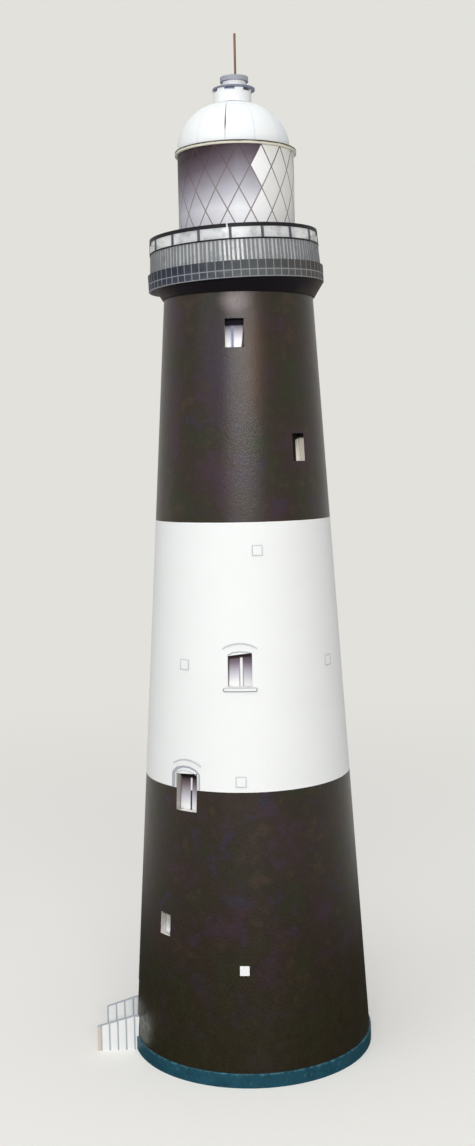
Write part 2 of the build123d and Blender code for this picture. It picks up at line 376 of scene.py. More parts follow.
def buildTowerCard(name, look, marks=()):
    material, tree, shader = newMaterial(name)
    sideways, inwards, level = localPlace(tree)
    colour = look["colour"]
    for drift in look.get("drifts", ()):
        patch = rise(tree, noise(tree, drift["size"], roughness=0.6), *drift["range"])
        colour = blend(tree, patch, colour, drift["colour"])
    if "footColour" in look:
        nearFoot = rise(tree, level, look["footHeight"], plinthTop)
        colour = blend(tree, product(tree, nearFoot, look["footShare"]), colour, look["footColour"])
    # Rubs, and on the upper card a painted highlight with painted tints beside it
    for mark in marks:
        colour = addRubAndHighlight(tree, colour, mark)
    # The printed paper covers what faces away from the tower's axis
    outwards = tree.nodes.new("ShaderNodeCombineXYZ")
    feed(tree, outwards.inputs[0], sideways)
    feed(tree, outwards.inputs[1], inwards)
    unit = vectorMath(tree, "NORMALIZE", outwards.outputs[0])
    comparison = vectorMath(tree, "DOT_PRODUCT", unit.outputs[0])
    feed(tree, comparison.inputs[1], surfaceNormal(tree))
    facing = comparison.outputs["Value"]
    printed = rise(tree, facing, *cardCore["printedRange"])
    colour = blend(tree, printed, bareCard(tree, facing), colour)
    finishSurface(tree, shader, colour, look, between(tree, printed, cardCore["mottleShare"], 1.0))
    return material


def buildPlinthBoard(look):
    # Worn to a paler blue in small patches, and most along the top rim
    material, tree, shader = newMaterial("tealBoard")
    _, _, level = localPlace(tree)
    rim = rise(tree, level, plinthTop - look["rimDepth"], plinthTop)
    wear = noise(tree, look["wearSize"], detail=5.0, roughness=0.7)
    wear = calc(tree, "ADD", wear, product(tree, rim, look["rimWear"]))
    worn = rise(tree, wear, *look["wearRange"])
    finishSurface(tree, shader, blend(tree, worn, look["colour"], look["worn"]), look)
    return material


lowerCard = buildTowerCard("blackCardLower", blackCard, lowerMarks)
upperCard = buildTowerCard("blackCardUpper", blackCard, upperTintsAndHighlight)
middleCard = buildTowerCard("whiteCardTower", whiteCard)
coat(lowerCard, "lower_tower")
coat(middleCard, "middle_tower")
coat(upperCard, "upper_tower")
coat(buildPlinthBoard(tealBoard), "plinth")
print("tower and plinth finished")


# Windows, with their prints, dressings and printed frames

footRadius, footLevel = boxOf("lower_tower")[1][0], boxOf("lower_tower")[0][2]
upperRadius, upperLevel = boxOf("upper_tower")[1][0], boxOf("upper_tower")[0][2]
taper = (footRadius - upperRadius) / (upperLevel - footLevel)
panelMargin = 0.7        # how far a printed panel reaches past its opening, behind the card

windowPrint = {
    "paneBlur": 0.1, "bandBlur": 0.24, "edgeBlur": 0.2, "barEndBlur": 0.3, "barFootBlur": 0.2,
    "outlineExtra": 0.3, "outlineBlur": 0.2, "outlineRange": (0.75, 0.45),
    "mottle": (1.5, 0.05), "grain": (0.25, 0.04), "roughness": (0.6, 0.1), "specular": 0.12, "relief": 0.004,
}
frontGlass = [(0.1, (252, 252, 254)), (0.42, (206, 203, 216)), (0.68, (136, 124, 138)), (0.92, (70, 56, 60))]
jointGlass = [(0.1, (250, 250, 252)), (0.4, (196, 192, 204)), (0.64, (130, 117, 124)), (0.82, (58, 46, 50))]
brightGlass = [(0.1, (252, 253, 255)), (0.3, (230, 228, 235)),
               (0.5, (192, 189, 198)), (0.72, (126, 120, 133))]
creamGlass = [(0.1, (240, 238, 232)), (0.5, (206, 200, 188)), (0.8, (162, 155, 144))]
greyGlass = [(0.1, (252, 252, 255)), (0.5, (202, 200, 200)), (0.95, (172, 169, 166))]
# Bars and edges are places across the window; an edge gives its place at the sill and at the head
windows = {
    "high_window": {
        "glass": brightGlass, "rightShade": 1.15,
        "bar": (142, 148, 172), "barPlace": -0.36, "barWidth": 0.42, "barBlur": 0.3,
        "bandColour": (10, 9, 20), "bandDepth": 1.05, "bandSlant": 0.03,
        "edgeColour": (66, 60, 64), "leftEdge": (-1.6, -1.3), "rightEdge": (0.95, 1.42),
    },
    # On the stair window the left edge reaches far across: the pane is painted in shade, and only its right
    # part shows cream
    "stair_window": {
        "glass": creamGlass, "bar": (222, 218, 206), "barPlace": 0.9, "barWidth": 0.12, "barBlur": 0.1,
        "bandColour": (22, 18, 16), "bandDepth": 1.1, "bandSlant": 0.3,
        "edgeColour": (26, 22, 20), "leftEdge": (0.34, 0.38), "rightEdge": (2.0, 2.0),
    },
    "middle_window": {
        "glass": frontGlass, "rightShade": 0.82, "barLine": (150, 148, 166),
        "bar": (250, 250, 252), "barPlace": 0.17, "barWidth": 0.38, "barBlur": 0.1,
        "bandColour": (46, 34, 36), "bandDepth": 0.87, "bandSlant": 0.1,
        "edgeColour": (70, 58, 60), "leftEdge": (-1.75, -1.6), "rightEdge": (1.95, 1.72),
    },
    "joint_window": {
        "glass": jointGlass, "rightShade": 0.9,
        "bar": (236, 236, 242), "barPlace": 0.2, "barWidth": 0.32, "barBlur": 0.1,
        "barFoot": (62, 54, 58), "barFootTop": 3.0,
        "bandColour": (22, 16, 22), "bandDepth": 1.0, "bandSlant": 0.0,
        "edgeColour": (120, 104, 96), "leftEdge": (-1.9, -1.75), "rightEdge": (2.2, 2.0),
    },
    "foot_window": {
        "glass": greyGlass, "bar": (206, 206, 206), "barPlace": 0.0, "barWidth": 0.2, "barBlur": 0.15,
        "bandColour": (60, 56, 54), "bandDepth": 0.1, "bandSlant": 0.1,
        "edgeColour": (120, 118, 116), "leftEdge": (-2.0, -2.0), "rightEdge": (2.0, 2.0),
    },
}


def panelPlace(name):
    # The azimuth, the sill's level and the height of a window's opening
    low, high = boxOf(name + "_panel")
    return azimuthOfNode(name + "_panel"), low[2] + panelMargin, high[2] - low[2] - 2 * panelMargin


def buildWindowPrint(name, look):
    azimuth, sill, height = panelPlace(name)
    material, tree, shader = newMaterial(name + "Print")
    sideways, _, level = localPlace(tree, azimuth, sill)
    fade = calc(tree, "DIVIDE", level, height, clamp=True)
    colour = ramp(tree, fade, look["glass"])
    fromBar = calc(tree, "SUBTRACT", sideways, look["barPlace"])
    if "rightShade" in look:
        rightPane = above(tree, fromBar, 0.0, windowPrint["paneBlur"])
        colour = tint(tree, colour, between(tree, rightPane, 1.0, look["rightShade"]))
    if "barLine" in look:
        width = look["barWidth"] + windowPrint["outlineExtra"]
        outline = inkLine(tree, fromBar, width, windowPrint["outlineBlur"])
        outline = product(tree, outline, rise(tree, fade, *windowPrint["outlineRange"]))
        colour = blend(tree, outline, colour, look["barLine"])
    for side, (foot, head) in ((-1.0, look["leftEdge"]), (1.0, look["rightEdge"])):
        beyond = product(tree, calc(tree, "SUBTRACT", sideways, between(tree, fade, foot, head)), side)
        edge = above(tree, beyond, 0.0, windowPrint["edgeBlur"])
        colour = blend(tree, edge, colour, look["edgeColour"])
    # The dark band under the head is partly the print's dark top and partly painted shadow of the head over
    # the recess
    bandLevel = calc(tree, "MULTIPLY_ADD", sideways, look["bandSlant"], height - look["bandDepth"])
    fromBand = calc(tree, "SUBTRACT", level, bandLevel)
    band = above(tree, fromBand, 0.0, windowPrint["bandBlur"])
    colour = blend(tree, band, colour, look["bandColour"])
    barColour = look["bar"]
    if "barFoot" in look:
        foot = below(tree, level, look["barFootTop"], windowPrint["barFootBlur"])
        barColour = blend(tree, foot, barColour, look["barFoot"])
    bar = inkLine(tree, fromBar, look["barWidth"], look["barBlur"])
    bar = product(tree, bar, below(tree, fromBand, 0.0, windowPrint["barEndBlur"]))
    finishSurface(tree, shader, blend(tree, bar, colour, barColour), windowPrint)
    return material


for name, look in windows.items():
    coat(buildWindowPrint(name, look), name + "_panel")
for name in ("high_window", "middle_window", "foot_window"):
    coat(buildWindowPrint("rear_" + name, windows[name]), "rear_" + name + "_panel")

greyPaper = {
    "colour": (204, 208, 210), "mottle": (1.0, 0.3), "grain": (0.2, 0.2),
    "roughness": (0.7, 0.1), "specular": 0.25, "relief": 0.004,
}
whitePaper = {
    "colour": (246, 247, 248), "mottle": (1.0, 0.05), "grain": (0.2, 0.05),
    "roughness": (0.65, 0.1), "specular": 0.25, "relief": 0.004,
}
outlines = {
    "hatch": {"ink": (194, 197, 202), "width": 0.15, "corner": 0.08, "blur": 0.1, "topFade": 0.2},
    "sill": {"ink": (140, 141, 150), "width": 0.17, "corner": 0.3, "blur": 0.14, "topFade": 0.55},
}


def buildOutlinedPaper(name, look):
    # White paper with an inked edge, fainter towards the top
    low, high = boxOf(name)
    middle, halfHeight = (high[2] + low[2]) / 2, (high[2] - low[2]) / 2
    azimuth = azimuthOfNode(name)
    turn = Matrix.Rotation(-math.radians(azimuth), 3, "Z")
    reach = [(turn @ vertex.co).x / mm for vertex in nodes[name].data.vertices]
    halfWidth = (max(reach) - min(reach)) / 2
    material, tree, shader = newMaterial(name + "Paper")
    sideways, _, up = localPlace(tree, azimuth, middle)
    # Distance from the paper's edge, which the ink follows round its corners
    across = calc(tree, "SUBTRACT", calc(tree, "ABSOLUTE", sideways), halfWidth - look["corner"])
    upright = calc(tree, "SUBTRACT", calc(tree, "ABSOLUTE", up), halfHeight - look["corner"])
    inside = calc(tree, "MINIMUM", calc(tree, "MAXIMUM", across, upright), 0.0)
    corner = hypotenuse(tree, calc(tree, "MAXIMUM", across, 0.0), calc(tree, "MAXIMUM", upright, 0.0))
    fromLine = calc(tree, "ADD", calc(tree, "ADD", corner, inside), look["width"] / 2 - look["corner"])
    strength = between(tree, rise(tree, up, 0.0, halfHeight), 1.0, 1.0 - look["topFade"])
    ink = product(tree, inkLine(tree, fromLine, look["width"], look["blur"]), strength)
    finishSurface(tree, shader, blend(tree, ink, whitePaper["colour"], look["ink"]), whitePaper)
    return material


coat(plainMaterial("greyPaper", greyPaper), *(name for name in nodes if name.endswith("_hood")))
for name in ("upper_hatch", "left_hatch", "right_hatch", "joint_hatch"):
    coat(buildOutlinedPaper(name, outlines["hatch"]), name)
for name in ("middle_window_sill", "rear_middle_window_sill"):
    coat(buildOutlinedPaper(name, outlines["sill"]), name)
coat(plainMaterial("whitePaper", whitePaper), "foot_hatch")

# A line's points are places across the window and above its sill
archPoints = [(-1.85, 4.85), (-1.0, 5.25), (0, 5.38), (1.0, 5.32), (1.85, 5.15)]
archWidths = [0.16, 0.15, 0.14, 0.13, 0.12]
wallPrints = {
    "middleWindowArch": {"window": "middle_window", "points": archPoints, "widths": archWidths},
    "rearMiddleWindowArch": {"window": "rear_middle_window", "points": archPoints, "widths": archWidths},
    "jointWindowFrame": {
        "window": "joint_window",
        "points": [(-2.65, 3.45), (-2.65, 5.7), (-1.8, 6.45), (-0.6, 6.8),
                   (0.5, 6.78), (1.6, 6.42), (2.3, 5.8), (2.35, 3.45)],
        "widths": [0.64, 0.62, 0.46, 0.32, 0.3, 0.28, 0.24, 0.2],
    },
    "jointWindowInnerFrame": {
        "window": "joint_window",
        "points": [(-2.05, 3.45), (-2.05, 5.55), (-1.5, 6.0), (-0.6, 6.2),
                   (0.4, 6.2), (1.4, 5.9), (1.95, 5.6), (2.0, 3.45)],
        "widths": [0.16, 0.14, 0.07, 0.05, 0.05, 0.06, 0.1, 0.1],
    },
}
printedStrip = {"lift": 0.01, "thickness": 0.04, "segments": 48}
framePrint = dict(greyPaper, colour=(176, 180, 189))


def wrapOnTower(mesh, azimuth, level):
    # Sideways, outwards and up in the mesh become places on the tapering wall
    for vertex in mesh.verts:
        sideways, outwards, up = vertex.co
        radius = footRadius - taper * (level + up - footLevel) + outwards
        angle = math.radians(azimuth) + math.asin(sideways / radius)
        vertex.co = Vector((radius * math.sin(angle), -radius * math.cos(angle), level + up)) * mm


def buildStrip(name, azimuth, level, look, material):
    # A ribbon along a bent line, laid on the wall and given the thickness of paper
    points = [Vector(point) for point in look["points"]]
    runs = [(second - first).length for first, second in zip(points, points[1:])]
    mesh = bmesh.new()
    bmesh.ops.create_grid(mesh, x_segments=look["segments"], y_segments=1, size=0.5)
    for vertex in mesh.verts:
        along = (vertex.co.x + 0.5) * sum(runs)
        index = 0
        while index < len(runs) - 1 and along > runs[index]:
            along -= runs[index]
            index += 1
        share = along / runs[index]
        width = look["widths"][index] * (1 - share) + look["widths"][index + 1] * share
        direction = (points[index + 1] - points[index]).normalized()
        across = Vector((-direction.y, direction.x))
        place = points[index] + direction * along + across * width * vertex.co.y
        vertex.co = Vector((place.x, look["lift"], place.y))
    solid = bmesh.ops.extrude_face_region(mesh, geom=mesh.faces[:])
    raised = [item for item in solid["geom"] if isinstance(item, bmesh.types.BMVert)]
    bmesh.ops.translate(mesh, verts=raised, vec=(0, look["thickness"], 0))
    wrapOnTower(mesh, azimuth, level)
    finishPiece(name, mesh, material)


frameMaterial = plainMaterial("framePrint", framePrint)
for name, look in wallPrints.items():
    azimuth, sill, height = panelPlace(look["window"])
    buildStrip(name, azimuth, sill, dict(printedStrip, **look), frameMaterial)
print("windows, hatches and printed frames finished")


# Seams where each card tube closes, on the side away from the front

seamStrip = {"width": 1.6, "lift": 0.01, "thickness": 0.12, "segments": 12}
seams = {
    "lowerTowerSeam": {"tube": "lower_tower", "azimuth": 139.0, "card": lowerCard, "slot": "black_card"},
    "middleTowerSeam": {"tube": "middle_tower", "azimuth": 141.5, "card": middleCard, "slot": "white_card"},
    "upperTowerSeam": {"tube": "upper_tower", "azimuth": 138.0, "card": upperCard, "slot": "black_card"},
}

for name, look in seams.items():
    low, high = boxOf(look["tube"])
    ends = [(0, 0), (0, high[2] - low[2])]
    strip = dict(seamStrip, points=ends, widths=[seamStrip["width"] for end in ends])
    buildStrip(name, look["azimuth"], low[2], strip, look["card"])
print("seams finished")


# Entrance

flankPrint = {
    "colour": (248, 250, 250), "ink": (180, 186, 192), "top": (186, 190, 201), "bare": (218, 205, 196),
    "lineWidth": 0.26, "bareEdge": -0.1, "topRange": (0.5, 0.6), "broadRange": (0.6, 0.7),
    "mottle": (2.0, 0.06), "grain": (0.25, 0.05), "roughness": (0.6, 0.1), "specular": 0.3, "relief": 0.006,
}
flanks = {
    "front_flank_wall": {"pitch": 1.35, "bareEnd": 0.6},
    "rear_flank_wall": {"pitch": 1.42, "bareEnd": 0.15},
}
stepPrint = {"colour": (226, 226, 222), "ink": (150, 150, 160), "pitch": 1.9, "lineWidth": 0.18}
doorPrint = {
    "colour": (34, 70, 82), "gap": (12, 26, 32), "frame": (220, 222, 224), "plank": 0.8, "gapWidth": 0.1,
    "width": 4.0, "height": 8.4, "frameWidth": 0.35,
    "mottle": (1.2, 0.35), "grain": (0.25, 0.25), "roughness": (0.5, 0.15), "specular": 0.3, "relief": 0.01,
}
doorAzimuth = azimuthOfNode("door")


def turnedNormal(tree, azimuth):
    # The surface's direction as sideways, inwards and up parts, seen from an azimuth
    turned = tree.nodes.new("ShaderNodeMapping")
    turned.vector_type = "TEXTURE"
    turned.inputs["Rotation"].default_value = (0, 0, math.radians(azimuth))
    feed(tree, turned.inputs["Vector"], surfaceNormal(tree))
    return partsOf(tree, turned.outputs[0])


def reachOf(name, azimuth):
    outward = Vector((math.sin(math.radians(azimuth)), -math.cos(math.radians(azimuth)), 0))
    return max(vertex.co.dot(outward) for vertex in nodes[name].data.vertices) / mm


def buildFlankPrint(name, look):
    # Upright joints drawn from the wall's outer end back towards the tower, on its broad faces only
    material, tree, shader = newMaterial(name + "Print")
    _, inwards, _ = localPlace(tree, doorAzimuth)
    fromStart = calc(tree, "ADD", inwards, reachOf(name, doorAzimuth) - look["bareEnd"])
    joint = inkLine(tree, calc(tree, "PINGPONG", fromStart, look["pitch"] / 2), flankPrint["lineWidth"])
    printed = blend(tree, joint, flankPrint["colour"], flankPrint["ink"])
    beyond = below(tree, fromStart, flankPrint["bareEdge"])
    printed = blend(tree, beyond, printed, flankPrint["bare"])
    facingSideways, _, facingUp = turnedNormal(tree, doorAzimuth)
    top = rise(tree, facingUp, *flankPrint["topRange"])
    rest = blend(tree, top, flankPrint["bare"], flankPrint["top"])
    broad = rise(tree, calc(tree, "ABSOLUTE", facingSideways), *flankPrint["broadRange"])
    finishSurface(tree, shader, blend(tree, broad, rest, printed), flankPrint)
    return material


def buildStepPrint(look):
    material, tree, shader = newMaterial("stepPrint")
    sideways, _, _ = localPlace(tree, doorAzimuth)
    halfPitch = look["pitch"] / 2
    joint = calc(tree, "PINGPONG", calc(tree, "ADD", sideways, halfPitch), halfPitch)
    colour = blend(tree, inkLine(tree, joint, look["lineWidth"]), look["colour"], look["ink"])
    finishSurface(tree, shader, colour, flankPrint)
    return material


def buildDoorPrint(look):
    # Planks inside a pale frame
    material, tree, shader = newMaterial("doorPrint")
    sideways, _, level = localPlace(tree, doorAzimuth, boxOf("door")[0][2])
    plank = calc(tree, "PINGPONG", sideways, look["plank"] / 2)
    colour = blend(tree, inkLine(tree, plank, look["gapWidth"]), look["colour"], look["gap"])
    fromSide = calc(tree, "SUBTRACT", look["width"] / 2, calc(tree, "ABSOLUTE", sideways))
    fromHead = calc(tree, "SUBTRACT", look["height"], level)
    rim = below(tree, calc(tree, "MINIMUM", fromSide, fromHead), look["frameWidth"])
    finishSurface(tree, shader, blend(tree, rim, colour, look["frame"]), look)
    return material


for name, look in flanks.items():
    coat(buildFlankPrint(name, look), name)
coat(buildStepPrint(stepPrint), "door_steps")
coat(buildDoorPrint(doorPrint), "door")
print("entrance finished")


# Gallery

gallery = {"shift": -0.3, "level": 122.0, "tilt": 2.4, "deck": 2.5, "deckRadius": 13.45}
# Painted shade in front under the overhang, and painted light round the sides
deckBoardWithPaintedLight = {
    "colour": (14, 8, 16), "side": (58, 49, 47), "litSideRange": (42.0, 85.0),
    "waverSize": 3.0, "waver": 20.0, "mottle": (2.5, 0.5), "grain": (0.3, 0.4),
    "roughness": (0.6, 0.15), "specular": 0.15, "relief": 0.015,
}
fasciaPrint = {
    # Painted shading and tint of the light round the band: darker and blue-grey on the left, grey in front,
    # darker and brown on the right
    "shadedTones": [(0.0, (26, 28, 54)), (0.3, (56, 60, 74)), (0.55, (90, 94, 96)),
              (0.8, (86, 82, 79)), (1.0, (56, 50, 52))],
    "toneTurn": 170.0, "toneRange": (0.35, 0.65), "toneSize": 1.6, "upperTone": 0.74, "upperBlur": 0.2,
    "ink": (146, 151, 156), "inkShare": 0.9, "upperInkShare": 0.68, "count": 68, "lineWidth": 0.14,
    "course": 1.1, "foot": 0.12,
    "mottle": (0.8, 0.3), "grain": (0.25, 0.2), "roughness": (0.6, 0.1), "specular": 0.25, "relief": 0.006,
}
railPrint = {
    "colour": (22, 20, 26), "mottle": (0.8, 0.4), "grain": (0.2, 0.3),
    "roughness": (0.5, 0.1), "specular": 0.2, "relief": 0.004,
}
postPrint = dict(railPrint, colour=(88, 90, 97))
barPrint = dict(railPrint, colour=(126, 129, 133))
clearFilm = {
    # The printed lower half is hazier than the clear strip between the rails
    "colour": (240, 243, 244), "lower": 0.62, "upper": 0.45, "lowerTone": 0.78, "upperBlur": 0.2,
    "cloudSize": 1.8, "cloudRange": (0.5, 0.72), "clouds": 0.3, "roughness": (0.12, 0.1),
}
railing = {
    "footRadius": 13.35, "topRadius": 13.0, "height": 5.5, "postAzimuth": -1.9,
    "barCount": 125, "barHeight": 3.12, "barWidth": 0.36, "narrowest": 0.8, "widest": 1.15,
    "barDepth": 0.05, "lift": 0.06, "wander": 0.075, "seed": 4,
}


def galleryPlace(tree):
    return localPlace(tree, 0.0, gallery["level"], gallery["shift"], gallery["tilt"])


def buildPaintedLightDeck(look):
    # Painted shade and light: black in front, shaded under the overhang, and browner round the sides, where
    # painted light catches the cone
    material, tree, shader = newMaterial("deckBoardWithPaintedLight")
    sideways, inwards, _ = localPlace(tree)
    waver = between(tree, noise(tree, look["waverSize"]), -look["waver"], look["waver"])
    fromFront = calc(tree, "ADD", calc(tree, "ABSOLUTE", azimuthOf(tree, sideways, inwards)), waver)
    side = rise(tree, fromFront, *look["litSideRange"])
    finishSurface(tree, shader, blend(tree, side, look["colour"], look["side"]), look)
    return material


def buildFasciaPrint(look):
    # Two courses of printed blocks
    material, tree, shader = newMaterial("fasciaPrint")
    sideways, inwards, level = galleryPlace(tree)
    azimuth = azimuthOf(tree, sideways, inwards)
    # Painted shading that turns with the azimuth, with a slow random change
    tone = between(tree, noise(tree, look["toneSize"], detail=2.0, roughness=0.5), *look["toneRange"])
    tone = calc(tree, "ADD", tone, calc(tree, "DIVIDE", azimuth, look["toneTurn"]))
    fromCourse = calc(tree, "SUBTRACT", level, look["course"])
    upper = rise(tree, fromCourse, 0.0, look["upperBlur"])
    colour = tint(tree, ramp(tree, tone, look["shadedTones"]), between(tree, upper, 1.0, look["upperTone"]))
    turned = calc(tree, "SUBTRACT", azimuth, railing["postAzimuth"])
    upright = calc(tree, "PINGPONG", turned, 180 / look["count"])
    upright = product(tree, upright, math.radians(gallery["deckRadius"]))
    ink = below(tree, level, look["foot"])
    for distance in (fromCourse, upright):
        ink = calc(tree, "MAXIMUM", ink, inkLine(tree, distance, look["lineWidth"]))
    ink = product(tree, ink, between(tree, upper, look["inkShare"], look["upperInkShare"]))
    finishSurface(tree, shader, blend(tree, ink, colour, look["ink"]), look)
    return material


def buildFilm(look):
    material, tree, shader = newMaterial("clearFilm")
    _, _, level = galleryPlace(tree)
    haze = noise(tree, look["cloudSize"], roughness=0.6)
    clouds = product(tree, rise(tree, haze, *look["cloudRange"]), -look["clouds"])
    upper = above(tree, level, gallery["deck"] + railing["barHeight"], look["upperBlur"])
    tone = calc(tree, "ADD", clouds, between(tree, upper, look["lowerTone"], 1.0))
    feed(tree, shader.inputs["Base Color"], tint(tree, look["colour"], tone))
    roughness, roughnessChange = look["roughness"]
    feed(tree, shader.inputs["Roughness"], calc(tree, "MULTIPLY_ADD", haze, roughnessChange, roughness))
    feed(tree, shader.inputs["Alpha"], between(tree, upper, look["lower"], look["upper"]))
    return material


def buildRailingBars(look):
    # Narrow printed bars, each a little different in width and place, leaning in with the film
    chance = random.Random(look["seed"])
    mesh = bmesh.new()
    count = look["barCount"]
    lean = math.atan2(look["footRadius"] - look["topRadius"], look["height"])
    for index in range(count):
        width = look["barWidth"] * chance.uniform(look["narrowest"], look["widest"])
        made = bmesh.ops.create_cube(mesh, size=1.0)["verts"]
        bmesh.ops.scale(mesh, verts=made, vec=(width, look["barDepth"], look["barHeight"] / math.cos(lean)))
        bmesh.ops.translate(mesh, verts=made, vec=(0, 0, look["barHeight"] / 2))
        bmesh.ops.rotate(mesh, verts=made, cent=(0, 0, 0), matrix=Matrix.Rotation(-lean, 3, "X"))
        bmesh.ops.translate(mesh, verts=made, vec=(0, -look["footRadius"] - look["lift"], 0))
        turn = look["postAzimuth"] + (index + chance.uniform(-1, 1) * look["wander"]) * 360 / count
        bmesh.ops.rotate(mesh, verts=made, cent=(0, 0, 0), matrix=Matrix.Rotation(math.radians(turn), 3, "Z"))
    bmesh.ops.translate(mesh, verts=mesh.verts, vec=(0, 0, gallery["deck"]))
    bmesh.ops.scale(mesh, verts=mesh.verts, vec=(mm, mm, mm))
    place = Matrix.Translation((gallery["shift"] * mm, 0, gallery["level"] * mm))
    tilt = Matrix.Rotation(math.radians(-gallery["tilt"]), 4, "Y")
    bmesh.ops.transform(mesh, verts=mesh.verts, matrix=place @ tilt)
    finishPiece("railingBars", mesh, plainMaterial("barPrint", barPrint))


coat(buildPaintedLightDeck(deckBoardWithPaintedLight), "corbel", "gallery_deck")
coat(buildFasciaPrint(fasciaPrint), "gallery_fascia")
coat(plainMaterial("railPrint", railPrint), "railing_top_rail", "railing_mid_rail")
coat(plainMaterial("postPrint", postPrint), "railing_posts")
coat(buildFilm(clearFilm), "railing_film")
buildRailingBars(railing)
print("gallery finished")


# Lantern, dome and ventilator

lanternPrint = {
    "latticeCount": 16, "crossingAzimuth": 2.6, "crossingLevel": 135.94, "rowHeight": 3.24,
    "latticeFoot": 130.1, "footBlur": 0.4, "lineWidth": 0.18, "line": (134, 124, 126),
    "darkLine": (78, 58, 62), "darkRange": (0.4, 0.9),
    "seamAzimuth": 14.6, "seamLevel": 139.2, "seamBlur": 0.5,
    "paleGlass": (238, 236, 234), "clearGlass": (250, 250, 251),
    "shadedGlass": [(0.0, (244, 245, 249)), (0.28, (192, 191, 201)), (0.52, (148, 143, 154)),
                    (0.76, (98, 87, 98)), (1.0, (52, 40, 46))],
    "shadeStart": 133.0, "shadeLength": 10.4, "leftAzimuth": -60.0, "leftCurve": 0.6, "leftShade": 0.24,
    "frontRange": (-175.0, -115.0),
    "mottle": (1.0, 0.08), "grain": (0.22, 0.08), "roughness": (0.55, 0.1), "specular": 0.25, "relief": 0.004,
}
gutterCard = {
    "colour": (222, 219, 204), "edge": (66, 62, 40), "edgeDepth": 0.2, "waverSize": 1.5, "waver": 0.1,
    "mottle": (0.8, 0.2), "grain": (0.2, 0.15), "roughness": (0.6, 0.1), "specular": 0.3, "relief": 0.008,
}
domeCard = {
    "colour": (250, 253, 254), "shade": (232, 240, 248), "petals": 12, "seamAzimuth": -8.0, "shift": -0.3,
    "petalShade": 0.4, "creaseRange": (2.0, 0.2), "creaseShade": 0.3,
    "mottle": (3.0, 0.05), "grain": (0.3, 0.04), "roughness": (0.5, 0.1), "specular": 0.35, "relief": 0.008,
}
ventLiner = {
    # The right colour is painted shade
    "colour": (198, 204, 232), "right": (124, 136, 130), "shadedRange": (20.0, 35.0),
    "height": 1.2, "gap": 0.04, "thickness": 0.12, "segments": 64,
    "mottle": (0.8, 0.4), "grain": (0.2, 0.2), "roughness": (0.6, 0.1), "specular": 0.2, "relief": 0.006,
}
ventCard = dict(domeCard, colour=(249, 251, 252))
ventEdge = {
    "colour": (124, 129, 147), "mottle": (0.8, 0.35), "grain": (0.2, 0.2),
    "roughness": (0.55, 0.1), "specular": 0.3, "relief": 0.006,
}
capCard = dict(ventEdge, colour=(166, 170, 181))
copperWire = {
    "colour": (118, 88, 72), "metallic": 0.5, "mottle": (0.6, 0.6), "grain": (0.12, 0.3),
    "roughness": (0.42, 0.2), "specular": 0.5, "relief": 0.01,
}


def buildLanternPrint(look):
    material, tree, shader = newMaterial("lanternPrint")
    sideways, inwards, level = localPlace(tree)
    azimuth = azimuthOf(tree, sideways, inwards)
    # Lattice lines rise and fall by one row in half a step round the drum
    halfStep = 180 / look["latticeCount"]
    across = calc(tree, "DIVIDE", calc(tree, "SUBTRACT", azimuth, look["crossingAzimuth"]), halfStep)
    along = calc(tree, "DIVIDE", calc(tree, "SUBTRACT", level, look["crossingLevel"]), look["rowHeight"])
    rising = calc(tree, "PINGPONG", calc(tree, "SUBTRACT", across, along), 1.0)
    falling = calc(tree, "PINGPONG", calc(tree, "ADD", across, along), 1.0)
    stepWidth = math.radians(halfStep) * boxOf("lantern_drum")[1][0]
    lineScale = stepWidth * look["rowHeight"] / math.hypot(stepWidth, look["rowHeight"])
    lattice = product(tree, calc(tree, "MINIMUM", rising, falling), lineScale)
    aboveFoot = above(tree, level, look["latticeFoot"], look["footBlur"])
    drawn = product(tree, inkLine(tree, lattice, look["lineWidth"]), aboveFoot)
    # Shaded panes end at a zigzag seam, then come one column of clear panes and pale ones round to the back
    row = calc(tree, "DIVIDE", calc(tree, "SUBTRACT", level, look["seamLevel"]), look["rowHeight"])
    zigzag = calc(tree, "PINGPONG", row, 1.0)
    fromSeam = calc(tree, "SUBTRACT", azimuth, look["seamAzimuth"])
    seam = product(tree, zigzag, halfStep)
    clearEnd = between(tree, zigzag, 2 * halfStep, halfStep)
    rightOfSeam = above(tree, calc(tree, "SUBTRACT", fromSeam, seam), 0.0, look["seamBlur"])
    rightOfClear = above(tree, calc(tree, "SUBTRACT", fromSeam, clearEnd), 0.0, look["seamBlur"])
    shade = calc(tree, "SUBTRACT", level, look["shadeStart"])
    shade = calc(tree, "DIVIDE", shade, look["shadeLength"], clamp=True)
    left = calc(tree, "DIVIDE", azimuth, look["leftAzimuth"], clamp=True)
    left = calc(tree, "POWER", left, look["leftCurve"])
    shade = calc(tree, "ADD", shade, product(tree, left, look["leftShade"]))
    front = rise(tree, azimuth, *look["frontRange"])
    shaded = blend(tree, front, look["paleGlass"], ramp(tree, shade, look["shadedGlass"]))
    plain = blend(tree, rightOfClear, look["clearGlass"], look["paleGlass"])
    colour = blend(tree, rightOfSeam, shaded, plain)
    dark = product(tree, rise(tree, shade, *look["darkRange"]), front)
    colour = blend(tree, drawn, colour, blend(tree, dark, look["line"], look["darkLine"]))
    finishSurface(tree, shader, colour, look)
    return material


def buildGutterCard(look):
    # A pale band with a dark line that wavers along the top
    material, tree, shader = newMaterial("gutterCard")
    _, _, level = localPlace(tree)
    waver = between(tree, noise(tree, look["waverSize"]), -look["waver"], look["waver"])
    edgeLevel = boxOf("gutter")[1][2] - look["edgeDepth"]
    topEdge = above(tree, calc(tree, "ADD", level, waver), edgeLevel)
    finishSurface(tree, shader, blend(tree, topEdge, look["colour"], look["edge"]), look)
    return material


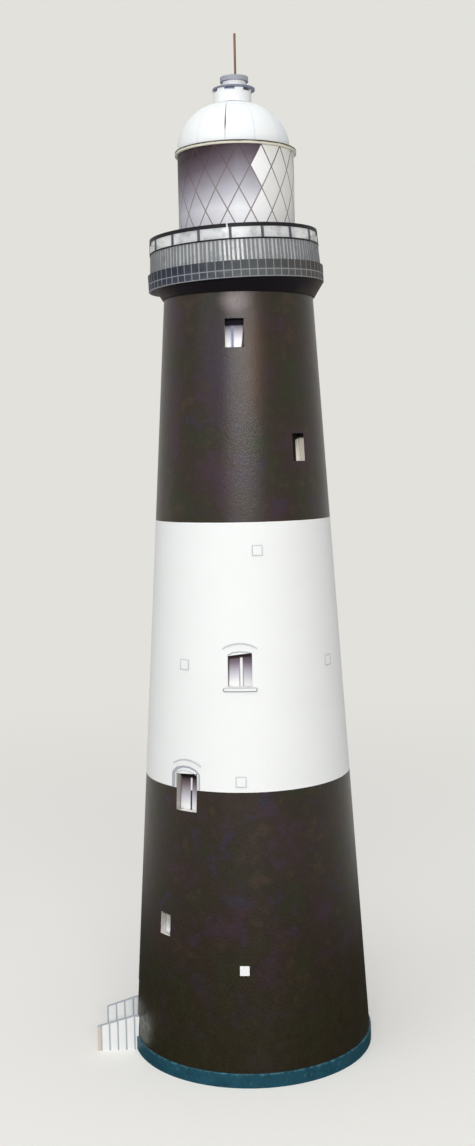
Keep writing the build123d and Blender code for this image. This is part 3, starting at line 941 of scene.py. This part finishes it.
def buildDomeCard(look):
    # Each petal has its own tone, with faint painted shade along the crease where two meet
    material, tree, shader = newMaterial("domeCard")
    sideways, inwards, _ = localPlace(tree, shift=look["shift"])
    pitch = 360 / look["petals"]
    turned = calc(tree, "SUBTRACT", azimuthOf(tree, sideways, inwards), look["seamAzimuth"])
    chance = tree.nodes.new("ShaderNodeTexWhiteNoise")
    chance.noise_dimensions = "1D"
    feed(tree, chance.inputs["W"], calc(tree, "FLOOR", calc(tree, "DIVIDE", turned, pitch)))
    petal = product(tree, chance.outputs["Value"], look["petalShade"])
    crease = rise(tree, calc(tree, "PINGPONG", turned, pitch / 2), *look["creaseRange"])
    shade = calc(tree, "ADD", petal, product(tree, crease, look["creaseShade"]))
    finishSurface(tree, shader, blend(tree, shade, look["colour"], look["shade"]), look)
    return material


def buildVentLiner(look):
    # A rolled strip of coloured paper that shows through the ventilator's slots, with painted shade on its
    # right part
    low, high = boxOf("vent_drum")
    centre = Vector(((low[0] + high[0]) / 2, (low[1] + high[1]) / 2))
    innerRadius = min((vertex.co.xy / mm - centre).length for vertex in nodes["vent_drum"].data.vertices)
    material, tree, shader = newMaterial("ventLiner")
    sideways, inwards, _ = localPlace(tree, shift=centre.x)
    right = rise(tree, azimuthOf(tree, sideways, inwards), *look["shadedRange"])
    finishSurface(tree, shader, blend(tree, right, look["colour"], look["right"]), look)
    radius = (innerRadius - look["gap"]) * mm
    middle = high[2] - look["gap"] - look["height"] / 2
    mesh = bmesh.new()
    bmesh.ops.create_cone(mesh, cap_ends=False, segments=look["segments"],
                          radius1=radius, radius2=radius, depth=look["height"] * mm)
    bmesh.ops.translate(mesh, verts=mesh.verts, vec=(centre.x * mm, centre.y * mm, middle * mm))
    bmesh.ops.solidify(mesh, geom=mesh.faces[:], thickness=look["thickness"] * mm)
    finishPiece("ventLiner", mesh, material)


coat(buildLanternPrint(lanternPrint), "lantern_drum")
coat(buildGutterCard(gutterCard), "gutter")
coat(buildDomeCard(domeCard), "dome_petals")
buildVentLiner(ventLiner)
coat(plainMaterial("ventCard", ventCard), "vent_drum", "vent_neck")
coat(plainMaterial("ventEdge", ventEdge), "vent_lid")
coat(plainMaterial("capCard", capCard), "vent_cap")
coat(plainMaterial("copperWire", copperWire), "lightning_rod")
print("lantern, dome and ventilator finished")


# Floor, world and lamps

surroundings = {
    "colour": (226, 225, 220), "ambient": 0.31, "sideways": 0.12,
    "floor": (226, 225, 221), "floorRadius": 3000.0, "floorSegments": 96, "floorRoughness": 0.9,
    "floorSpecular": 0.1, "speckleSize": 1.1111, "speckle": (0.985, 1.015), "lift": 0.28,
    "fadeRange": (50.0, 320.0), "reflected": (64, 66, 56), "reflectRange": (55.0, 170.0),
}
lamps = {
    "keyLamp": {"place": (14, -605, 260), "size": (400, 80), "power": 1.84, "colour": (1.0, 0.99, 0.98)},
    "fillLamp": {"place": (-420, -370, 400), "size": (340, 340), "power": 0.48, "colour": (0.93, 0.97, 1.0)},
    "topLamp": {"place": (0, -120, 900), "size": (400, 400), "power": 2.2, "colour": (1.0, 1.0, 1.0)},
}
lampAim = 80.0        # the level that the lamps point at


def emission(tree, colour, strength=1.0):
    node = tree.nodes.new("ShaderNodeEmission")
    feedColour(tree, node.inputs["Color"], colour)
    node.inputs["Strength"].default_value = strength
    return node.outputs[0]


def mixShaders(tree, factor, first, second):
    node = tree.nodes.new("ShaderNodeMixShader")
    for socket, value in zip(node.inputs, (factor, first, second)):
        tree.links.new(value, socket)
    return node.outputs[0]


def backdropOnly(tree, base, backdrop):
    # Shows the backdrop to the camera, to reflections and through film, and the base to all other light
    path = tree.nodes.new("ShaderNodeLightPath")
    seen = calc(tree, "MAXIMUM", path.outputs["Is Camera Ray"], path.outputs["Is Glossy Ray"])
    seen = calc(tree, "MAXIMUM", seen, path.outputs["Is Transmission Ray"])
    return mixShaders(tree, seen, base, backdrop)


def buildWorld(look):
    world = bpy.data.worlds.new("studio")
    world.use_nodes = True
    bpy.context.scene.world = world
    tree = world.node_tree
    tree.nodes.clear()
    # The room is a little brighter on the left than on the right
    direction = partsOf(tree, tree.nodes.new("ShaderNodeTexCoord").outputs["Generated"])
    side = calc(tree, "MULTIPLY_ADD", direction[0], -look["sideways"], 1.0)
    light = tree.nodes.new("ShaderNodeBackground")
    light.inputs["Color"].default_value = (1, 1, 1, 1)
    feed(tree, light.inputs["Strength"], product(tree, side, look["ambient"]))
    seen = tree.nodes.new("ShaderNodeBackground")
    seen.inputs["Color"].default_value = srgb(*look["colour"])
    output = tree.nodes.new("ShaderNodeOutputWorld")
    tree.links.new(backdropOnly(tree, light.outputs[0], seen.outputs[0]), output.inputs[0])


def buildFloor(look):
    material, tree, shader = newMaterial("floorPaint")
    speckle = between(tree, noise(tree, look["speckleSize"], roughness=0.6), *look["speckle"])
    feed(tree, shader.inputs["Base Color"], tint(tree, look["floor"], speckle))
    shader.inputs["Roughness"].default_value = look["floorRoughness"]
    shader.inputs["Specular IOR Level"].default_value = look["floorSpecular"]
    paint = shader.outputs[0]
    reach = calc(tree, "DIVIDE", vectorMath(tree, "LENGTH", objectPlace(tree)).outputs["Value"], mm)
    # Near the object the floor keeps its shadow and shows a little paler than the light makes it
    lifted = tree.nodes.new("ShaderNodeAddShader")
    tree.links.new(paint, lifted.inputs[0])
    tree.links.new(emission(tree, look["floor"], look["lift"]), lifted.inputs[1])
    near = backdropOnly(tree, paint, lifted.outputs[0])
    far = backdropOnly(tree, paint, emission(tree, look["colour"]))
    plain = mixShaders(tree, rise(tree, reach, *look["fadeRange"]), near, far)
    # The card is glossy enough at a grazing angle for a pale floor to whiten it, so reflections see it dark
    reflected = blend(tree, rise(tree, reach, *look["reflectRange"]), look["reflected"], look["colour"])
    inReflections = tree.nodes.new("ShaderNodeLightPath").outputs["Is Glossy Ray"]
    output = next(node for node in tree.nodes if node.type == "OUTPUT_MATERIAL")
    tree.links.new(mixShaders(tree, inReflections, plain, emission(tree, reflected)), output.inputs[0])
    mesh = bmesh.new()
    radius = look["floorRadius"] * mm
    bmesh.ops.create_circle(mesh, cap_ends=True, segments=look["floorSegments"], radius=radius)
    data = bpy.data.meshes.new("floor")
    mesh.to_mesh(data)
    mesh.free()
    data.materials.append(material)
    floor = bpy.data.objects.new("floor", data)
    bpy.context.collection.objects.link(floor)


def buildLamps(looks):
    aim = Vector((0, 0, lampAim)) * mm
    for name, look in looks.items():
        data = bpy.data.lights.new(name, "AREA")
        data.shape = "RECTANGLE"
        data.size = look["size"][0] * mm
        data.size_y = look["size"][1] * mm
        data.energy = look["power"]
        data.color = look["colour"]
        lamp = bpy.data.objects.new(name, data)
        lamp.location = Vector(look["place"]) * mm
        lamp.rotation_euler = (aim - lamp.location).to_track_quat("-Z", "Y").to_euler()
        bpy.context.collection.objects.link(lamp)


buildWorld(surroundings)
buildFloor(surroundings)
buildLamps(lamps)
bpy.context.scene.view_settings.view_transform = "Standard"
print("floor, world and lamps placed")
